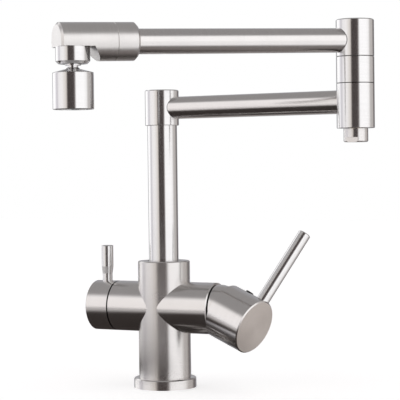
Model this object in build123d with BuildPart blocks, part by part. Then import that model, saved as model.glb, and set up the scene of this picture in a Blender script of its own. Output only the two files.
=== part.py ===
from build123d import *
import os
from math import cos, radians, sin, sqrt, tan

# Deck-mounted kitchen tap with a folding pot-filler arm, a side mixer handle and a quarter-turn
# filter handle. Millimetres. Origin: centre of the base on the worktop. +Z up, +X along the mixer
# branch, -X along the filter branch. The arm and the handles are modelled as they stand in use.

# General clearances
overrun = 5.0
seat_gap = 0.03
run_gap = 0.05
move_gap = 0.3
seam_gap = 0.4
seam_bevel = 0.3
ring_slack = 0.3
hexagon = 6

# Body and base ring
body_radius = 25.0
body_bevel = 0.8
branch_height = 77.0
trunk_rise = 44.6
passage_radius = 6.0
passage_rise = 5.0
base_ledge = 5.0
base_height = 9.5
base_bevel = 1.0
gasket_inset = 1.3
gasket_width = 2.8
gasket_height = 1.9

# Inlet block
block_inset = 1.5
block_spigot_inset = 1.5
block_spigot = 4.5
block_seal_section = 2.0
stud_radius = 4.0
port_radius = 5.0
port_depth = 9.0
port_circle_radius = 12.0
port_angle = 60.0
channel_radius = 3.0
supply_drop = 4.0
outlet_rise = 9.0

# Mixer branch, cartridge and bonnet
mixer_radius = 24.5
mixer_bevel = 0.9
cartridge_radius = 17.5
cartridge_wall = 3.0
cartridge_length = 32.0
cartridge_channel = 15.0
cartridge_seat = 1.0
cartridge_neck_inset = 3.6
cartridge_neck = 15.0
seal_ring_outer = 5.0
seal_ring_inner = 3.2
seal_recess = 1.2
nut_seat = 6.0
nut_wall = 2.4
nut_crown_inset = 2.1
nut_crown = 4.0
nut_slot_width = 4.0
nut_slot_count = 6
pivot_stand = 3.0
bonnet_clearance = 2.5
bonnet_wall = 1.8
bonnet_foot = 1.6
bonnet_mouth_angle = 38.0

# Carrier, stem and mixer handle
handle_tilt = 23.5
handle_turn = 26.8
carrier_radius = 10.5
carrier_back = 11.5
carrier_floor_back = 7.1
carrier_reach = 5.4
stem_width = 8.0
stem_tail = 5.0
stem_length = 34.0
pin_radius = 1.6
cap_radius = 26.2
cap_rim = 5.5
cap_length = 43.4
cap_bevel = 1.0
cap_lip = 0.9
lever_radius = 6.1
lever_place = 35.2
lever_tip = 101.2
lever_socket = 6.7
lever_bevel = 0.8
lever_stud_radius = 3.0
lever_stud_length = 7.0
plug_radius = 3.9
plug_place = 18.5
plug_depth = 3.5
plug_stand = 1.3
plug_bevel = 0.4
grub_radius = 2.5
grub_length = 8.0
grub_place = 30.0
grub_socket = 1.3
grub_socket_depth = 2.7

# Filter branch, headwork and knob
filter_radius = 24.2
filter_end = 50.1
filter_wall = 2.0
headwork_radius = 9.0
headwork_flange_width = 21.0
headwork_flange = 5.0
headwork_seal_width = 3.0
headwork_seal_depth = 0.8
filter_outlet_rise = 6.0
filter_outlet_radius = 2.0
spindle_radius = 4.0
spindle_depth = 20.1
spindle_reach = 18.9
spindle_disc_radius = 7.0
spindle_disc = 3.0
knob_length = 24.3
knob_bevel = 0.9
knob_cavity_radius = 19.0
knob_cavity_depth = 9.0
knob_pin_stand = 13.1
knob_pin_radius = 5.85
knob_pin_neck_radius = 4.85
knob_pin_top = 58.6
knob_pin_taper_top = 38.0
knob_pin_taper_bottom = 31.0
knob_pin_stud_radius = 2.5
knob_pin_socket = 2.7
knob_pin_bevel = 0.6

# Riser, its bearing in the body, and the post head
riser_radius = 14.25
riser_wall = 1.4
riser_bearing_wall = 1.75
riser_bore_depth = 30.6
foot_length = 15.0
foot_socket = 6.0
washer_thickness = 1.5
guide_nut_recess = 0.6
riser_ring_section = 1.5
riser_ring_inset = 2.2
riser_ring_pitch = 4.0
riser_ring_count = 2
post_wall = 2.0
post_shoulder = 2.45
post_drop = 16.6
post_rise = 17.4
post_bevel = 0.9
post_socket = 6.0
post_roof = 3.5

# Folding arm: both tubes and the elbow between them
lower_arm_height = 267.9
lower_arm_radius = 10.6
lower_arm_length = 205.5
lower_arm_angle = -4.0
arm_rise = 54.5
upper_arm_radius = 10.8
upper_arm_angle = 229.0
upper_arm_fall = 1.3
arm_wall = 1.5
arm_entry = 1.5
elbow_radius = 17.0
elbow_wall = 4.4
elbow_drop = 23.7
lower_seam_rise = 16.4
upper_seam_drop = 14.7
elbow_rise = 18.6
elbow_bevel = 0.9
elbow_floor = 4.8
elbow_spigot = 5.0
elbow_roof = 4.0
elbow_spindle_radius = 9.0
elbow_spindle_wall = 2.5
elbow_spindle_drop = 6.4
elbow_spindle_stud = 5.5
elbow_window_height = 14.0
elbow_window_width = 7.0
elbow_ring_section = 1.4
elbow_ring_inset = 5.5
end_nut_radius = 11.0
end_nut_height = 12.4
end_nut_fillet = 1.6
end_nut_flat = 1.5
end_nut_flat_height = 4.4
end_nut_roof = 4.0

# Spout collar, head and outlet adapter
outlet_distance = 262.0
spout_radius = 16.3
spout_nose = 14.0
spout_face_bevel = 1.9
spout_bore_back = 25.0
spout_channel_radius = 4.0
spout_channel_rise = 5.0
head_back = 35.3
collar_length = 19.7
collar_bevel = 2.2
collar_socket = 5.0
notch_depth = 4.2
notch_clearance = 0.25
notch_angle = 34.0
adapter_radius = 14.45
adapter_height = 14.2
adapter_bevel = 2.3
adapter_bore = 9.5
adapter_roof = 3.0
adapter_inlet = 5.5

# Ball stem and aerator
stem_neck_radius = 4.4
stem_collar_radius = 6.7
stem_collar = 1.3
stem_flange_radius = 8.6
stem_flange = 2.6
stem_flange_depth = 6.2
stem_bore = 2.8
stem_nut_height = 4.6
ball_radius = 8.0
ball_drop = 9.4
housing_radius = 17.2
housing_mouth = 6.5
housing_mouth_rise = 5.0
housing_cone_rise = 2.5
housing_height = 33.3
housing_wall = 1.9
housing_bevel = 0.5
housing_line_depth = 0.35
housing_line_width = 0.5
housing_line_drop = 1.1
seat_depth = 10.5
seat_hole = 3.4
insert_recess = 0.8
insert_crown = 1.0
insert_rim = 1.6
insert_web = 0.7
insert_cell = 3.4
insert_rows = 7
insert_depth = 8.0

# Base and block, worked out from the body
base_radius = body_radius + base_ledge
block_radius = body_radius - block_inset
block_spigot_radius = block_radius - block_spigot_inset
block_height = base_height + block_spigot
block_seal_height = base_height + block_spigot / 2
gasket_inner = block_radius + gasket_inset
gasket_outer = gasket_inner + gasket_width
supply_x = port_circle_radius * cos(radians(port_angle))
supply_y = port_circle_radius * sin(radians(port_angle))
supply_height = branch_height - supply_drop
mixed_height = branch_height + outlet_rise
port_points = ((supply_x, supply_y), (supply_x, -supply_y), (-port_circle_radius, 0))

# Riser bearing, from the body's top down, and the post head round the lower arm
body_top = branch_height + trunk_rise
passage_floor = branch_height + passage_rise
riser_bore = riser_radius + riser_bearing_wall
riser_bore_floor = body_top - riser_bore_depth
foot_radius = riser_bore - run_gap
foot_bottom = riser_bore_floor + washer_thickness + run_gap
foot_top = foot_bottom + foot_length
guide_nut_bottom = foot_top + washer_thickness + 2 * run_gap
guide_nut_top = body_top - guide_nut_recess
riser_ring_places = [
    foot_bottom + riser_ring_inset + riser_ring_pitch * number for number in range(riser_ring_count)
]
post_radius = riser_radius + post_wall
post_cavity_radius = riser_radius - post_shoulder
post_bottom = lower_arm_height - post_drop
post_top = lower_arm_height + post_rise

# Places along the two branches, from the trunk's axis outwards
cartridge_floor = riser_bore + cartridge_wall
cartridge_shoulder = cartridge_floor + cartridge_length
cartridge_neck_radius = cartridge_radius - cartridge_neck_inset
cartridge_top = cartridge_shoulder + cartridge_neck
nut_radius = cartridge_radius + nut_wall
nut_crown_radius = nut_radius - nut_crown_inset
mixer_end = cartridge_shoulder + nut_seat
nut_crown_end = mixer_end + nut_crown
pivot_x = mixer_end + pivot_stand
carrier_base = pivot_x - carrier_back
carrier_floor = pivot_x - carrier_floor_back
carrier_top = pivot_x + carrier_reach
cap_cavity_radius = cap_radius - cap_lip
bonnet_radius = cap_cavity_radius - bonnet_clearance
lever_seat = cap_radius - lever_socket
filter_floor = riser_bore + filter_wall
spindle_start = filter_end - spindle_depth
spindle_end = filter_end + spindle_reach
knob_pin_place = filter_end + knob_pin_stand
knob_pin_seat = filter_radius - knob_pin_socket
branch_line = Axis((0, 0, branch_height), (1, 0, 0))

# Directions of the mixer handle about its pivot
turn = radians(handle_turn)
tilt = radians(handle_tilt)
pivot = Vector(pivot_x, 0, branch_height)
handle_axis = Vector(cos(tilt), -sin(tilt) * sin(turn), -sin(tilt) * cos(turn))
lever_axis = Vector(sin(tilt), cos(tilt) * sin(turn), cos(tilt) * cos(turn))
hinge_axis = Vector(0, -cos(turn), sin(turn))
handle_line = Axis(pivot, handle_axis)
handle_plane = Plane(origin=pivot, x_dir=lever_axis, z_dir=handle_axis)
handle_side = Plane(origin=pivot, x_dir=handle_axis, z_dir=hinge_axis)
lever_foot = pivot + handle_axis * lever_place
lever_plane = Plane(origin=lever_foot, x_dir=handle_axis, z_dir=lever_axis)

# The arm in its modelled pose, and the heights at the elbow
arm_one = Vector(cos(radians(lower_arm_angle)), sin(radians(lower_arm_angle)), 0)
arm_two_level = Vector(cos(radians(upper_arm_angle)), sin(radians(upper_arm_angle)), 0)
# the upper arm falls a little towards its spout, so that it drains
arm_two = arm_two_level * cos(radians(upper_arm_fall)) - Vector(0, 0, sin(radians(upper_arm_fall)))
arm_two_up = arm_two_level * sin(radians(upper_arm_fall)) + Vector(0, 0, cos(radians(upper_arm_fall)))
elbow_point = arm_one * lower_arm_length
outlet_point = elbow_point + arm_two * outlet_distance
upper_arm_height = lower_arm_height + arm_rise
elbow_cavity_radius = elbow_radius - elbow_wall
elbow_bottom = lower_arm_height - elbow_drop
elbow_lower_seam = lower_arm_height + lower_seam_rise
elbow_upper_seam = upper_arm_height - upper_seam_drop
elbow_top = upper_arm_height + elbow_rise
elbow_spindle_bore = elbow_spindle_radius - elbow_spindle_wall
elbow_spindle_top = upper_arm_height - elbow_spindle_drop
elbow_ring_places = (elbow_lower_seam + elbow_ring_inset, elbow_upper_seam - elbow_ring_inset)
end_nut_bottom = elbow_bottom - end_nut_height
lower_arm_plane = Plane(origin=(0, 0, lower_arm_height), x_dir=(0, 0, 1), z_dir=arm_one)
upper_arm_plane = Plane(
    origin=(elbow_point.X, elbow_point.Y, upper_arm_height), x_dir=arm_two_up, z_dir=arm_two
)
upper_arm_line = Axis((elbow_point.X, elbow_point.Y, upper_arm_height), arm_two)
elbow_plane = Plane(origin=(elbow_point.X, elbow_point.Y, 0))

# Spout and aerator, worked out from the outlet's axis
collar_end = outlet_distance - head_back
collar_start = collar_end - collar_length
spout_bore = upper_arm_radius - arm_wall
spout_bore_end = outlet_distance - spout_bore_back
spout_face = outlet_distance + spout_nose
notch_start = -adapter_radius - notch_clearance
outlet_height = upper_arm_height + outlet_point.Z
adapter_top = outlet_height - notch_depth
adapter_bottom = adapter_top - adapter_height
ball_height = adapter_bottom - ball_drop
housing_mouth_height = ball_height + housing_mouth_rise
housing_rim_height = housing_mouth_height - housing_cone_rise
housing_bottom = housing_mouth_height - housing_height
housing_line_top = housing_rim_height - housing_line_drop
outlet_line = Axis((outlet_point.X, outlet_point.Y, 0), (0, 0, 1))
outlet_plane = Plane(origin=(outlet_point.X, outlet_point.Y, 0))
outlet_side = Plane(origin=(outlet_point.X, outlet_point.Y, 0), x_dir=(1, 0, 0), z_dir=(0, -1, 0))
spout_side = Plane(
    origin=(outlet_point.X, outlet_point.Y, outlet_height),
    x_dir=arm_two_level,
    z_dir=arm_two_level.cross(Vector(0, 0, 1)),
)

os.makedirs("parts", exist_ok=True)


def save(part, label):
    part.label = label
    export_step(part, f"parts/{label}.step")


# Base ring, gasket and inlet block
with BuildPart() as base_ring:
    with BuildSketch(Plane.XY):
        Circle(base_radius)
        Circle(block_radius + seat_gap, mode=Mode.SUBTRACT)
    extrude(amount=base_height)
    with BuildSketch(Plane.XY):
        Circle(gasket_outer)
        Circle(gasket_inner, mode=Mode.SUBTRACT)
    extrude(amount=gasket_height, mode=Mode.SUBTRACT)
    chamfer(base_ring.edges().group_by(Axis.Z)[-1].sort_by(SortBy.RADIUS)[-1], base_bevel)
save(base_ring.part, "base_ring")

with BuildPart() as base_gasket:
    with BuildSketch(Plane.XY):
        Circle(gasket_outer - seat_gap)
        Circle(gasket_inner + seat_gap, mode=Mode.SUBTRACT)
    extrude(amount=gasket_height)
save(base_gasket.part, "base_gasket")

# The block fills the base ring, and its spigot seals in the body with a rubber ring
with BuildPart() as inlet_block:
    with BuildSketch(Plane.XY):
        Circle(block_radius)
    extrude(amount=base_height - seat_gap)
    with BuildSketch(Plane.XY):
        Circle(block_spigot_radius - seat_gap)
    extrude(amount=block_height)
    with BuildSketch(Plane.XY):
        Circle(stud_radius)
        with Locations(*port_points):
            Circle(port_radius)
    extrude(amount=port_depth, mode=Mode.SUBTRACT)
    with BuildSketch(Plane.XY):
        with Locations(*port_points):
            Circle(channel_radius)
    extrude(amount=block_height, mode=Mode.SUBTRACT)
    with BuildSketch(Plane.XY.offset(block_seal_height - block_seal_section / 2 - ring_slack)):
        Circle(block_spigot_radius)
        Circle(block_spigot_radius - block_seal_section - 2 * run_gap, mode=Mode.SUBTRACT)
    extrude(amount=block_seal_section + 2 * ring_slack, mode=Mode.SUBTRACT)
save(inlet_block.part, "inlet_block")

with BuildPart() as block_seal:
    with Locations((0, 0, block_seal_height)):
        Torus(block_spigot_radius - block_seal_section / 2 - run_gap, block_seal_section / 2)
save(block_seal.part, "block_seal")

# Body: one casting with both branches, its chambers and its water channels
with BuildPart() as body:
    with BuildSketch(Plane.XY.offset(base_height)):
        Circle(body_radius)
    extrude(amount=body_top - base_height)
    chamfer(body.edges().group_by(Axis.Z)[-1], body_bevel)
    with BuildSketch(Plane.YZ):
        with Locations((0, branch_height)):
            Circle(mixer_radius)
    extrude(amount=mixer_end)
    chamfer(body.edges().group_by(Axis.X)[-1], mixer_bevel)
    with BuildSketch(Plane.YZ):
        with Locations((0, branch_height)):
            Circle(filter_radius)
    extrude(amount=-filter_end)
    chamfer(body.edges().group_by(Axis.X)[0], knob_bevel / 2)
    # pocket for the inlet block's spigot, riser bore and central passage
    with BuildSketch(Plane.XY.offset(base_height)):
        Circle(block_spigot_radius)
    extrude(amount=block_height - base_height, mode=Mode.SUBTRACT)
    with BuildSketch(Plane.XY.offset(riser_bore_floor)):
        Circle(riser_bore)
    extrude(amount=body_top - riser_bore_floor, mode=Mode.SUBTRACT)
    with BuildSketch(Plane.XY.offset(passage_floor)):
        Circle(passage_radius)
    extrude(amount=riser_bore_floor - passage_floor, mode=Mode.SUBTRACT)
    # cartridge chamber with its threaded mouth, and the headwork chamber
    with BuildSketch(Plane.YZ.offset(cartridge_floor)):
        with Locations((0, branch_height)):
            Circle(cartridge_radius + seat_gap)
    extrude(amount=mixer_end - cartridge_floor, mode=Mode.SUBTRACT)
    with BuildSketch(Plane.YZ.offset(cartridge_shoulder)):
        with Locations((0, branch_height)):
            Circle(nut_radius + seat_gap)
    extrude(amount=mixer_end - cartridge_shoulder, mode=Mode.SUBTRACT)
    with BuildSketch(Plane.YZ.offset(-filter_end)):
        with Locations((0, branch_height)):
            Circle(headwork_radius + seat_gap)
    extrude(amount=filter_end - filter_floor, mode=Mode.SUBTRACT)
    # hot and cold feeds to the cartridge
    with BuildSketch(Plane.XY.offset(block_height)):
        with Locations(*port_points[:2]):
            Circle(channel_radius)
    extrude(amount=supply_height - block_height, mode=Mode.SUBTRACT)
    with BuildSketch(Plane.YZ.offset(supply_x)):
        with Locations((supply_y, supply_height), (-supply_y, supply_height)):
            Circle(channel_radius)
    extrude(amount=cartridge_floor - supply_x, mode=Mode.SUBTRACT)
    # mixed water to the central passage
    with BuildSketch(Plane.YZ):
        with Locations((0, mixed_height)):
            Circle(channel_radius)
    extrude(amount=cartridge_floor, mode=Mode.SUBTRACT)
    # filtered water up to the headwork and on to the central passage
    with BuildSketch(Plane.XY.offset(block_height)):
        with Locations(port_points[2]):
            Circle(channel_radius)
    extrude(amount=branch_height - block_height, mode=Mode.SUBTRACT)
    with BuildSketch(Plane.YZ.offset(-filter_floor)):
        with Locations((0, branch_height)):
            Circle(channel_radius)
    extrude(amount=filter_floor - port_circle_radius, mode=Mode.SUBTRACT)
    with BuildSketch(Plane.YZ.offset(-filter_floor)):
        with Locations((0, branch_height + filter_outlet_rise)):
            Circle(filter_outlet_radius)
    extrude(amount=filter_floor, mode=Mode.SUBTRACT)
save(body.part, "body")

# Mixing cartridge and its port seals
seal_places = ((supply_y, supply_height), (-supply_y, supply_height), (0, mixed_height))
with BuildPart() as cartridge_case:
    with BuildSketch(Plane.YZ.offset(cartridge_floor + cartridge_seat)):
        with Locations((0, branch_height)):
            Circle(cartridge_radius)
    extrude(amount=cartridge_shoulder - cartridge_floor - cartridge_seat)
    with BuildSketch(Plane.YZ.offset(cartridge_shoulder)):
        with Locations((0, branch_height)):
            Circle(cartridge_neck_radius)
    extrude(amount=cartridge_top - cartridge_shoulder)
    with BuildSketch(Plane.YZ.offset(carrier_base)):
        with Locations((0, branch_height)):
            Circle(carrier_radius + run_gap)
    extrude(amount=cartridge_top - carrier_base, mode=Mode.SUBTRACT)
    with BuildSketch(Plane.YZ.offset(cartridge_floor + cartridge_seat)):
        with Locations(*seal_places):
            Circle(seal_ring_outer)
    extrude(amount=seal_recess, mode=Mode.SUBTRACT)
    with BuildSketch(Plane.YZ.offset(cartridge_floor + cartridge_seat)):
        with Locations(*seal_places):
            Circle(channel_radius)
    extrude(amount=cartridge_channel, mode=Mode.SUBTRACT)
save(cartridge_case.part, "cartridge_case")

with BuildPart() as cartridge_seals:
    with BuildSketch(Plane.YZ.offset(cartridge_floor)):
        with Locations(*seal_places):
            Circle(seal_ring_outer - seat_gap)
            Circle(seal_ring_inner, mode=Mode.SUBTRACT)
    extrude(amount=cartridge_seat + seal_recess)
save(cartridge_seals.part, "cartridge_seals")

with BuildPart() as cartridge_nut:
    with BuildSketch(Plane.XZ):
        Polygon(
            (cartridge_shoulder, branch_height + cartridge_neck_radius + seat_gap),
            (nut_crown_end, branch_height + cartridge_neck_radius + seat_gap),
            (nut_crown_end, branch_height + nut_crown_radius),
            (mixer_end, branch_height + nut_crown_radius),
            (mixer_end, branch_height + nut_radius),
            (cartridge_shoulder, branch_height + nut_radius),
            align=None,
        )
    revolve(axis=branch_line)
    with BuildSketch(Plane.YZ.offset(mixer_end + bonnet_foot)):
        with Locations((0, branch_height)):
            with PolarLocations(nut_crown_radius, nut_slot_count):
                Rectangle(nut_slot_width, nut_slot_width)
    extrude(amount=nut_crown_end - mixer_end, mode=Mode.SUBTRACT)
save(cartridge_nut.part, "cartridge_nut")

# Bonnet: the turned dome between the branch and the handle, struck about the stem's pivot
with BuildPart() as bonnet:
    mouth = radians(bonnet_mouth_angle)
    bonnet_inner = bonnet_radius - bonnet_wall
    foot_back = pivot_x - mixer_end
    foot_front = foot_back - bonnet_foot
    with BuildSketch(Plane.XZ):
        with BuildLine():
            outer_foot = (mixer_end, branch_height + sqrt(bonnet_radius**2 - foot_back**2))
            outer_mouth = (
                pivot_x + bonnet_radius * cos(mouth),
                branch_height + bonnet_radius * sin(mouth),
            )
            inner_mouth = (
                pivot_x + bonnet_inner * cos(mouth),
                branch_height + bonnet_inner * sin(mouth),
            )
            inner_foot = (
                mixer_end + bonnet_foot,
                branch_height + sqrt(bonnet_inner**2 - foot_front**2),
            )
            RadiusArc(outer_foot, outer_mouth, bonnet_radius)
            Line(outer_mouth, inner_mouth)
            RadiusArc(inner_mouth, inner_foot, -bonnet_inner)
            Polyline(
                inner_foot,
                (mixer_end + bonnet_foot, branch_height + nut_crown_radius + seat_gap),
                (mixer_end, branch_height + nut_crown_radius + seat_gap),
                outer_foot,
            )
        make_face()
    revolve(axis=branch_line)
save(bonnet.part, "bonnet")

# Carrier: the fork that turns in the cartridge and holds the stem on a pin
with BuildPart() as cartridge_carrier:
    with BuildSketch(Plane.YZ.offset(carrier_base)):
        with Locations((0, branch_height)):
            Circle(carrier_radius)
    extrude(amount=carrier_top - carrier_base)
    fork_plane = Plane(origin=(carrier_floor, 0, branch_height), x_dir=hinge_axis, z_dir=(1, 0, 0))
    with BuildSketch(fork_plane):
        Rectangle(stem_width + 2 * run_gap, 2 * cartridge_radius)
    extrude(amount=carrier_top - carrier_floor, mode=Mode.SUBTRACT)
    with BuildSketch(Plane(origin=pivot, z_dir=hinge_axis)):
        Circle(pin_radius + seat_gap)
    extrude(amount=carrier_radius, both=True, mode=Mode.SUBTRACT)
save(cartridge_carrier.part, "cartridge_carrier")

pin_half_length = sqrt(carrier_radius**2 - pin_radius**2) - run_gap
with BuildPart() as pivot_pin:
    with BuildSketch(Plane(origin=pivot, z_dir=hinge_axis)):
        Circle(pin_radius)
    extrude(amount=pin_half_length, both=True)
save(pivot_pin.part, "pivot_pin")

# Stem, handle cap, lever and small handle parts
with BuildPart() as cartridge_stem:
    with BuildSketch(handle_plane.offset(-stem_tail)):
        Rectangle(stem_width, stem_width)
    extrude(amount=stem_tail + stem_length)
    with BuildSketch(Plane(origin=pivot, z_dir=hinge_axis)):
        Circle(pin_radius + run_gap)
    extrude(amount=stem_width, both=True, mode=Mode.SUBTRACT)
save(cartridge_stem.part, "cartridge_stem")

with BuildPart() as mixer_cap:
    with BuildSketch(handle_plane.offset(cap_rim)):
        Circle(cap_radius)
    extrude(amount=cap_length - cap_rim)
    chamfer(mixer_cap.edges().sort_by(handle_line)[-1], cap_bevel)
    with BuildSketch(handle_side):
        Circle(cap_cavity_radius)
        with Locations((-cap_cavity_radius, 0)):
            Rectangle(2 * cap_cavity_radius, 2 * cap_cavity_radius, mode=Mode.SUBTRACT)
        with Locations((0, -cap_cavity_radius)):
            Rectangle(2 * cap_cavity_radius, 2 * cap_cavity_radius, mode=Mode.SUBTRACT)
    revolve(axis=handle_line, mode=Mode.SUBTRACT)
    with BuildSketch(handle_plane):
        Rectangle(stem_width + 2 * seat_gap, stem_width + 2 * seat_gap)
    extrude(amount=stem_length + seat_gap, mode=Mode.SUBTRACT)
    with BuildSketch(lever_plane.offset(lever_seat)):
        Circle(lever_radius + seat_gap)
    extrude(amount=cap_radius - lever_seat + overrun, mode=Mode.SUBTRACT)
    with BuildSketch(lever_plane.offset(lever_seat - lever_stud_length)):
        Circle(lever_stud_radius + seat_gap)
    extrude(amount=lever_stud_length, mode=Mode.SUBTRACT)
    plug_origin = pivot + handle_axis * plug_place
    plug_plane = Plane(origin=plug_origin, x_dir=handle_axis, z_dir=lever_axis)
    with BuildSketch(plug_plane.offset(cap_radius - plug_depth)):
        Circle(plug_radius + seat_gap)
    extrude(amount=plug_depth + overrun, mode=Mode.SUBTRACT)
    grub_origin = pivot + handle_axis * grub_place
    grub_plane = Plane(origin=grub_origin, x_dir=handle_axis, z_dir=-lever_axis)
    with BuildSketch(grub_plane):
        Circle(grub_radius + seat_gap)
    extrude(amount=cap_radius + overrun, mode=Mode.SUBTRACT)
save(mixer_cap.part, "mixer_cap")

with BuildPart() as mixer_lever:
    with BuildSketch(lever_plane.offset(lever_seat)):
        Circle(lever_radius)
    extrude(amount=lever_tip - lever_seat)
    chamfer(mixer_lever.edges().sort_by(Axis(lever_foot, lever_axis))[-1], lever_bevel)
    with BuildSketch(lever_plane.offset(lever_seat - lever_stud_length + seat_gap)):
        Circle(lever_stud_radius)
    extrude(amount=lever_stud_length)
save(mixer_lever.part, "mixer_lever")

with BuildPart() as index_plug:
    with BuildSketch(plug_plane.offset(cap_radius - plug_depth)):
        Circle(plug_radius)
    extrude(amount=plug_depth + plug_stand)
    chamfer(index_plug.edges().sort_by(Axis(plug_origin, lever_axis))[-1], plug_bevel)
save(index_plug.part, "index_plug")

with BuildPart() as handle_grub_screw:
    with BuildSketch(grub_plane.offset(stem_width / 2)):
        Circle(grub_radius)
    extrude(amount=grub_length)
    with BuildSketch(grub_plane.offset(stem_width / 2 + grub_length)):
        RegularPolygon(grub_socket, hexagon)
    extrude(amount=-grub_socket_depth, mode=Mode.SUBTRACT)
save(handle_grub_screw.part, "handle_grub_screw")

# Filter headwork, spindle, knob and lever pin
with BuildPart() as filter_headwork:
    with BuildSketch(Plane.YZ.offset(-filter_end)):
        with Locations((0, branch_height)):
            Circle(headwork_radius)
    extrude(amount=filter_end - filter_floor)
    with BuildSketch(Plane.YZ.offset(-filter_end)):
        with Locations((0, branch_height)):
            RegularPolygon(headwork_flange_width / 2, hexagon, major_radius=False)
    extrude(amount=-headwork_flange)
    with BuildSketch(Plane.YZ.offset(-filter_end - headwork_flange)):
        with Locations((0, branch_height)):
            Circle(spindle_radius + run_gap)
    extrude(amount=filter_end + headwork_flange - spindle_start, mode=Mode.SUBTRACT)
    with BuildSketch(Plane.YZ.offset(-spindle_start)):
        with Locations((0, branch_height)):
            Circle(spindle_disc_radius + run_gap)
    extrude(amount=spindle_start - filter_floor, mode=Mode.SUBTRACT)
    seal_line = filter_floor + headwork_seal_width
    with BuildSketch(Plane.XZ):
        with Locations((-seal_line, branch_height + headwork_radius)):
            Rectangle(headwork_seal_width, 2 * headwork_seal_depth)
    revolve(axis=branch_line, mode=Mode.SUBTRACT)
save(filter_headwork.part, "filter_headwork")

with BuildPart() as headwork_seal:
    with BuildSketch(Plane.XZ):
        with Locations((-seal_line, branch_height + headwork_radius - headwork_seal_depth / 2)):
            Rectangle(headwork_seal_width, headwork_seal_depth)
    revolve(axis=branch_line)
save(headwork_seal.part, "headwork_seal")

with BuildPart() as filter_spindle:
    with BuildSketch(Plane.YZ.offset(-spindle_end)):
        with Locations((0, branch_height)):
            Circle(spindle_radius)
    extrude(amount=spindle_end - spindle_start + run_gap)
    with BuildSketch(Plane.YZ.offset(-spindle_start + run_gap)):
        with Locations((0, branch_height)):
            Circle(spindle_disc_radius)
    extrude(amount=spindle_disc)
save(filter_spindle.part, "filter_spindle")

knob_start = filter_end + seam_gap
knob_end = knob_start + knob_length
with BuildPart() as filter_knob:
    with BuildSketch(Plane.YZ.offset(-knob_end)):
        with Locations((0, branch_height)):
            Circle(filter_radius)
    extrude(amount=knob_length)
    chamfer(filter_knob.edges().group_by(Axis.X)[0], knob_bevel)
    chamfer(filter_knob.edges().group_by(Axis.X)[-1], knob_bevel / 2)
    with BuildSketch(Plane.YZ.offset(-knob_start)):
        with Locations((0, branch_height)):
            Circle(knob_cavity_radius)
    extrude(amount=-knob_cavity_depth, mode=Mode.SUBTRACT)
    with BuildSketch(Plane.YZ.offset(-spindle_end - seat_gap)):
        with Locations((0, branch_height)):
            Circle(spindle_radius + seat_gap)
    extrude(amount=spindle_end - knob_start, mode=Mode.SUBTRACT)
    with BuildSketch(Plane.XY.offset(branch_height + knob_pin_seat)):
        with Locations((-knob_pin_place, 0)):
            Circle(knob_pin_neck_radius + seat_gap)
    extrude(amount=filter_radius - knob_pin_seat + overrun, mode=Mode.SUBTRACT)
    with BuildSketch(Plane.XY.offset(branch_height)):
        with Locations((-knob_pin_place, 0)):
            Circle(knob_pin_stud_radius + seat_gap)
    extrude(amount=knob_pin_seat, mode=Mode.SUBTRACT)
save(filter_knob.part, "filter_knob")

with BuildPart() as filter_lever:
    with BuildSketch(Plane(origin=(-knob_pin_place, 0, branch_height), x_dir=(1, 0, 0), z_dir=(0, -1, 0))):
        Polygon(
            (0, spindle_radius),
            (knob_pin_stud_radius, spindle_radius),
            (knob_pin_stud_radius, knob_pin_seat),
            (knob_pin_neck_radius, knob_pin_seat),
            (knob_pin_neck_radius, knob_pin_taper_bottom),
            (knob_pin_radius, knob_pin_taper_top),
            (knob_pin_radius, knob_pin_top - knob_pin_bevel),
            (knob_pin_radius - knob_pin_bevel, knob_pin_top),
            (0, knob_pin_top),
            align=None,
        )
    revolve(axis=Axis((-knob_pin_place, 0, 0), (0, 0, 1)))
save(filter_lever.part, "filter_lever")

# Riser bearing: foot, rubber rings, thrust washers and guide nut
with BuildPart() as riser_foot:
    with BuildSketch(Plane.XY.offset(foot_bottom)):
        Circle(foot_radius)
        Circle(riser_radius - riser_wall, mode=Mode.SUBTRACT)
    extrude(amount=foot_top - foot_bottom)
    with BuildSketch(Plane.XY.offset(foot_top - foot_socket)):
        Circle(riser_radius + seat_gap)
    extrude(amount=foot_socket, mode=Mode.SUBTRACT)
    for place in riser_ring_places:
        with BuildSketch(Plane.XY.offset(place - riser_ring_section / 2 - ring_slack)):
            Circle(foot_radius)
            Circle(foot_radius - riser_ring_section - 2 * run_gap, mode=Mode.SUBTRACT)
        extrude(amount=riser_ring_section + 2 * ring_slack, mode=Mode.SUBTRACT)
save(riser_foot.part, "riser_foot")

with BuildPart() as riser_rings:
    with Locations(*[(0, 0, place) for place in riser_ring_places]):
        Torus(foot_radius - riser_ring_section / 2 - run_gap, riser_ring_section / 2)
save(riser_rings.part, "riser_rings")

with BuildPart() as lower_thrust_washer:
    with BuildSketch(Plane.XY.offset(riser_bore_floor)):
        Circle(riser_bore - run_gap)
        Circle(riser_radius - riser_wall, mode=Mode.SUBTRACT)
    extrude(amount=washer_thickness)
save(lower_thrust_washer.part, "lower_thrust_washer")

with BuildPart() as upper_thrust_washer:
    with BuildSketch(Plane.XY.offset(foot_top + run_gap)):
        Circle(riser_bore - run_gap)
        Circle(riser_radius + run_gap, mode=Mode.SUBTRACT)
    extrude(amount=washer_thickness)
save(upper_thrust_washer.part, "upper_thrust_washer")

with BuildPart() as guide_nut:
    with BuildSketch(Plane.XY.offset(guide_nut_bottom)):
        Circle(riser_bore - seat_gap)
        Circle(riser_radius + run_gap, mode=Mode.SUBTRACT)
    extrude(amount=guide_nut_top - guide_nut_bottom)
save(guide_nut.part, "guide_nut")

# Riser tube and post head
with BuildPart() as riser_tube:
    with BuildSketch(Plane.XY.offset(foot_top - foot_socket)):
        Circle(riser_radius)
        Circle(riser_radius - riser_wall, mode=Mode.SUBTRACT)
    extrude(amount=post_bottom + post_socket - foot_top + foot_socket)
save(riser_tube.part, "riser_tube")

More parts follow.
